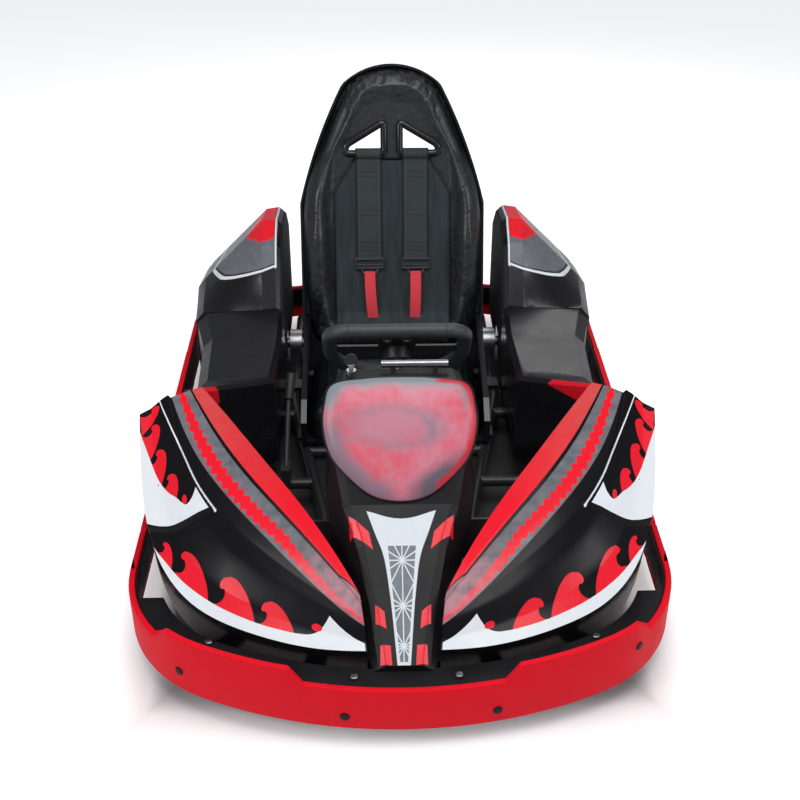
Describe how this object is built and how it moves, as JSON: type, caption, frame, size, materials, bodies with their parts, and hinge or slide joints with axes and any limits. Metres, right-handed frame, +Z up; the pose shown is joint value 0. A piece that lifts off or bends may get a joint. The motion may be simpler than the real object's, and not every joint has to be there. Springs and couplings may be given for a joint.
{
  "type": "drift kart",
  "caption": "Single-seat drift kart with a tube chassis, a full bumper ring, moulded nose and fairings, a high-back racing seat, direct steering and a live rear axle.",
  "frame": {"origin": "on the floor, below the middle of the kart's bounding box", "axes": "+Z up, the nose points along -Y, +X is the driver's left"},
  "size_m": [1.26, 1.8999, 0.9825],
  "materials": {
    "frame": "satin black powder coat",
    "floor": "satin black sheet",
    "mat": "ribbed black rubber",
    "band": "glossy red bumper plastic",
    "spine_livery": "gloss black with white strip, grey lattice and red marks",
    "panel_livery": "red with airbrushed grey swirl and black edge",
    "fairing_livery": "gloss black with red rim, grey band, red waves and white lip",
    "pod": "gloss black moulded plastic",
    "cover_livery": "gloss black with red and grey bands and a white pinstripe",
    "alloy": "machined aluminium",
    "motor": "black finned casting",
    "caliper": "red painted caliper",
    "battery": "black moulded case",
    "seat_shell": "black moulded shell",
    "seat_hide": "black padded hide with stitched seams",
    "bezel": "black plastic frame",
    "webbing": "black woven webbing",
    "adjuster": "black pressed steel",
    "pull_tab": "red woven pull tab",
    "pedal": "satin black ribbed plate",
    "steel": "bright steel",
    "lever": "dark grey lever and grip",
    "bright_bar": "bright bar",
    "grip": "dark suede grip with seams",
    "spokes": "satin black plate",
    "boot": "black rubber boot",
    "tyre": "black slick rubber",
    "disc": "ground steel disc"
  },
  "bodies": {
    "chassis": {"side_rail_left": "frame", "side_rail_right": "frame", "cross_tubes": "frame", "bumper_arms": "frame", "front_yokes": "frame", "floor_pan": "floor", "floor_mats": "mat", "bumper_band_front": "band", "bumper_band_sides": "band", "bumper_band_rear": "band", "bumper_hoop": "frame", "nose_spine": "spine_livery", "front_panel": "panel_livery", "fairing_left": "fairing_livery", "fairing_right": "fairing_livery", "side_pod_left": "pod", "side_pod_right": "pod", "rear_cover_left": "cover_livery", "rear_cover_right": "cover_livery", "bearing_carriers": "alloy", "drive_unit": "motor", "brake_caliper": "caliper", "battery_box": "battery", "seat_shell": "seat_shell", "seat_back_pad": "seat_hide", "seat_cushion": "seat_hide", "seat_bearers": "frame", "harness_bezels": "bezel", "shoulder_belts": "webbing", "belt_adjusters": "adjuster", "belt_tabs": "pull_tab", "column_support": "frame", "accelerator_pedal": "pedal", "brake_pedal": "pedal", "brake_linkage": "steel", "drift_lever": "lever", "key_switch": "steel", "dash_bar": "bright_bar"},
    "steering_wheel": {"steering_rim": "grip", "steering_spokes": "spokes", "steering_column": "steel"},
    "steering_shaft": {"steering_shaft": "steel", "coupling_boot": "boot"},
    "knuckle_left": {"knuckle_left": "steel"},
    "knuckle_right": {"knuckle_right": "steel"},
    "tie_rod_left": {"tie_rod_left": "steel"},
    "tie_rod_right": {"tie_rod_right": "steel"},
    "front_wheel_left": {"front_rim_left": "alloy", "front_tyre_left": "tyre"},
    "front_wheel_right": {"front_rim_right": "alloy", "front_tyre_right": "tyre"},
    "rear_axle": {"rear_axle": "steel", "rear_rims": "alloy", "rear_tyres": "tyre", "brake_disc": "disc"}
  },
  "joints": [
    {"name": "steering_turn", "type": "hinge", "parent": "chassis", "child": "steering_wheel", "pos_m": [0, -0.116, 0.5], "axis": [0, 0.766, 0.6428], "range_deg": [-30, 30]},
    {"name": "shaft_turn", "type": "hinge", "parent": "chassis", "child": "steering_shaft", "pos_m": [0, -0.5, 0.13], "axis": [0, 0, 1], "range_deg": [-30, 30]},
    {"name": "knuckle_left_turn", "type": "hinge", "parent": "chassis", "child": "knuckle_left", "pos_m": [0.345, -0.5, 0.13], "axis": [0, 0, 1], "range_deg": [-30, 30]},
    {"name": "knuckle_right_turn", "type": "hinge", "parent": "chassis", "child": "knuckle_right", "pos_m": [-0.345, -0.5, 0.13], "axis": [0, 0, 1], "range_deg": [-30, 30]},
    {"name": "tie_rod_left_turn", "type": "hinge", "parent": "knuckle_left", "child": "tie_rod_left", "pos_m": [0.345, -0.58, 0.13], "axis": [0, 0, 1], "range_deg": [-30, 30]},
    {"name": "tie_rod_right_turn", "type": "hinge", "parent": "knuckle_right", "child": "tie_rod_right", "pos_m": [-0.345, -0.58, 0.13], "axis": [0, 0, 1], "range_deg": [-30, 30]},
    {"name": "front_wheel_left_spin", "type": "hinge", "parent": "knuckle_left", "child": "front_wheel_left", "pos_m": [0.43, -0.5, 0.13], "axis": [1, 0, 0], "continuous": true},
    {"name": "front_wheel_right_spin", "type": "hinge", "parent": "knuckle_right", "child": "front_wheel_right", "pos_m": [-0.43, -0.5, 0.13], "axis": [1, 0, 0], "continuous": true},
    {"name": "rear_axle_spin", "type": "hinge", "parent": "chassis", "child": "rear_axle", "pos_m": [0, 0.57, 0.14], "axis": [1, 0, 0], "continuous": true}
  ],
  "couplings": [
    {"joint": "shaft_turn", "follows": "steering_turn", "ratio": 1},
    {"joint": "knuckle_left_turn", "follows": "steering_turn", "ratio": 1},
    {"joint": "knuckle_right_turn", "follows": "steering_turn", "ratio": 1},
    {"joint": "tie_rod_left_turn", "follows": "steering_turn", "ratio": -1},
    {"joint": "tie_rod_right_turn", "follows": "steering_turn", "ratio": -1}
  ]
}
